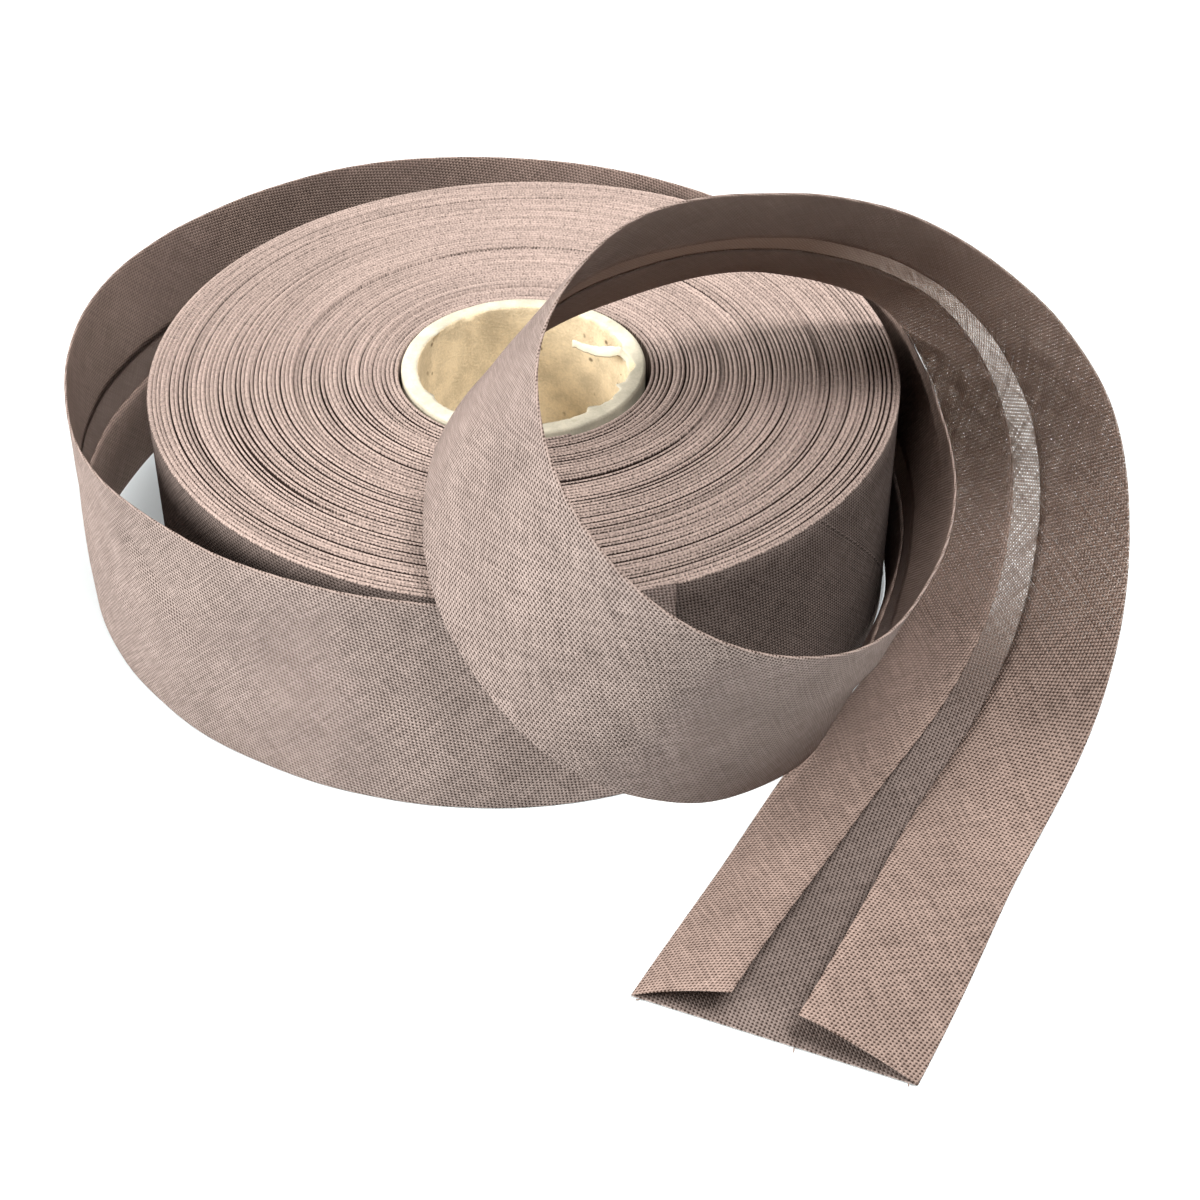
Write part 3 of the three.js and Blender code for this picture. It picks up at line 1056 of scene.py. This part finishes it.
class BINDING_OT_stage(Operator):
    """Set the pale floor, the soft lights and the camera"""

    bl_idname = "binding.stage"
    bl_label = "Stage"

    def execute(self, context):
        scene = context.scene
        colours = scene.binding_colours
        maker = bmesh.new()
        cells = FLOOR["cells"]
        bmesh.ops.create_grid(maker, x_segments=cells, y_segments=cells, size=FLOOR["half"])
        mesh = bpy.data.meshes.new("floor")
        maker.to_mesh(mesh)
        maker.free()
        mesh.materials.append(floor_finish(colours))
        floor = bpy.data.objects.new("floor", mesh)
        scene.collection.objects.link(floor)
        world = bpy.data.worlds.new("studio")
        world.use_nodes = True
        background = world.node_tree.nodes["Background"]
        background.inputs["Color"].default_value = (*SURROUND["colour"], 1)
        background.inputs["Strength"].default_value = SURROUND["strength"]
        scene.world = world
        for row in LIGHTS:
            self.add_light(scene, **row)
        camera = bpy.data.cameras.new("camera")
        camera.lens = CAMERA["lens"]
        camera.sensor_width = CAMERA["film"]
        view = bpy.data.objects.new("camera", camera)
        view.location = AXIS + Vector(CAMERA["place"]) * MM
        view.rotation_euler = (math.radians(90 - CAMERA["tilt"]), 0, math.radians(-CAMERA["turn"]))
        scene.collection.objects.link(view)
        scene.camera = view
        scene.view_settings.view_transform = "Standard"
        scene.view_settings.look = "None"
        return {"FINISHED"}

    def add_light(self, scene, name, place, size, power, colour):
        lamp = bpy.data.lights.new(name, "AREA")
        lamp.shape = "RECTANGLE"
        lamp.size, lamp.size_y = size
        lamp.energy = power
        lamp.color = colour
        light = bpy.data.objects.new(name, lamp)
        light.location = place
        light.rotation_euler = (-Vector(place)).to_track_quat("-Z", "Y").to_euler()
        scene.collection.objects.link(light)


class BINDING_OT_core(Operator):
    """Build the card core with its torn inner edge"""

    bl_idname = "binding.core"
    bl_label = "Card core"

    def execute(self, context):
        sizes, colours = context.scene.binding_sizes, context.scene.binding_colours
        fleck, torn = colours.fleck, scaled(colours.card_end, 1.12)
        materials = (
            card_finish("card end", colours.card_end, fleck, fleck_share=0.15, grain=0.5),
            # Paper inside the bore, brightened as painted light.
            card_finish("card bore", colours.card_bore, fleck, fleck_share=0.85, grain=0.9),
            card_finish("torn paper", torn, fleck, fleck_share=0.0, grain=0.5),
        )
        add_piece("card_core", build_card_core(sizes), materials, ["core"])
        return {"FINISHED"}


class BINDING_OT_roll(Operator):
    """Build the wound turns of tape"""

    bl_idname = "binding.roll"
    bl_label = "Wound roll"

    def execute(self, context):
        sizes, colours = context.scene.binding_sizes, context.scene.binding_colours
        materials = (
            edge_finish(sizes, colours),
            # The wall's cloth is darkened as painted shade.
            cloth_finish("wound cloth", sizes, colours, shade=WALL_PAINTED_SHADE),
        )
        add_piece("wound_roll", build_wound_roll(sizes), materials, ["roll"])
        # The seam's thread takes the wall's painted shade.
        seam = cloth_finish("seam thread", sizes, colours, shade=WALL_PAINTED_SHADE)
        add_piece("join_seam", build_join_seam(sizes), (seam,))
        return {"FINISHED"}


class BINDING_OT_tail(Operator):
    """Fold the loose end and lay it out"""

    bl_idname = "binding.tail"
    bl_label = "Loose end"

    def execute(self, context):
        sizes, colours = context.scene.binding_sizes, context.scene.binding_colours
        materials = (
            cloth_finish("tape cloth", sizes, colours, **RIGHT_SIDE),
            # The wrong side is darker, partly as painted shade in the slot under the flaps.
            cloth_finish("tape cloth, wrong side", sizes, colours, **WRONG_SIDE),
        )
        maker, flat = build_loose_tape(sizes)
        tape = add_piece("loose_tape", maker, materials, ["tail"])
        strays = add_piece("stray_threads", build_strays(sizes), materials[:1])
        return {"FINISHED"}


class BINDING_PT_panel(Panel):
    """Sizes, colours and steps of the roll"""

    bl_idname = "BINDING_PT_panel"
    bl_label = "Bias Binding"
    bl_space_type = "VIEW_3D"
    bl_region_type = "UI"
    bl_category = "Binding"

    def draw(self, context):
        for step in STEPS:
            self.layout.operator(step.bl_idname)
        for group in (context.scene.binding_sizes, context.scene.binding_colours):
            column = self.layout.column()
            for name in group.__annotations__:
                column.prop(group, name)


STEPS = (BINDING_OT_stage, BINDING_OT_core, BINDING_OT_roll, BINDING_OT_tail)
CLASSES = (BindingSizes, BindingColours, *STEPS, BINDING_PT_panel)


def register():
    for item in CLASSES:
        bpy.utils.register_class(item)
    bpy.types.Scene.binding_sizes = PointerProperty(type=BindingSizes)
    bpy.types.Scene.binding_colours = PointerProperty(type=BindingColours)


def unregister():
    del bpy.types.Scene.binding_colours
    del bpy.types.Scene.binding_sizes
    for item in reversed(CLASSES):
        bpy.utils.unregister_class(item)


def main():
    register()
    bpy.ops.binding.stage()
    bpy.ops.binding.core()
    bpy.ops.binding.roll()
    bpy.ops.binding.tail()


if __name__ == "__main__":
    main()
